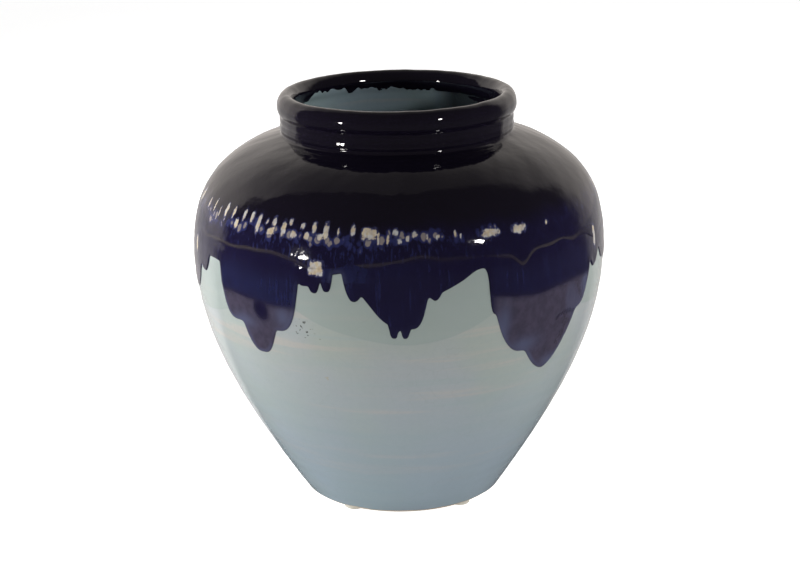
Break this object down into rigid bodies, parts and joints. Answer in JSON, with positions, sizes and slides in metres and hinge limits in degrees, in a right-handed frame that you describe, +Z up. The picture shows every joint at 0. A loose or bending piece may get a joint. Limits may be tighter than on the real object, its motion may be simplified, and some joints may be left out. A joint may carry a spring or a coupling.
{
  "type": "flower vase",
  "caption": "Wide-shouldered thrown stoneware vase with a rolled lip, a pale blue base glaze and a dark cobalt glaze that runs down from the shoulder in tongues.",
  "frame": {"origin": "centre of the four pads' undersides, on the surface that the vase stands on, on the vase's turning axis", "axes": "+Z up along the turning axis, -Y towards the front, +X to the right seen from the front"},
  "size_m": [0.3492, 0.3488, 0.349],
  "materials": {
    "bare_clay": "unglazed fired stoneware, matt and slightly gritty, with turning lines under the foot",
    "lining_glaze": "glossy pale blue-grey lining glaze with fine crazing",
    "pale_blue_glaze": "glossy pale blue base glaze with faint throwing bands, pinholes and crazing",
    "cobalt_glaze": "deep glossy cobalt glaze, thin and purple-grey at the tips of its tongues, with rounded edges",
    "dark_glaze": "near-black glossy top glaze that breaks to cream flecks with blue haloes along its lower band",
    "felt_pad": "pale pressed-felt stick-on pad"
  },
  "bodies": {
    "root": {"foot_and_floor": "bare_clay", "lower_wall": "bare_clay", "shoulder_wall": "bare_clay", "collar_and_lip": "bare_clay", "inside_glaze": "lining_glaze", "pale_blue_glaze": "pale_blue_glaze", "cobalt_glaze": "cobalt_glaze", "dark_glaze": "dark_glaze", "foot_pad_1": "felt_pad", "foot_pad_2": "felt_pad", "foot_pad_3": "felt_pad", "foot_pad_4": "felt_pad"}
  },
  "joints": []
}
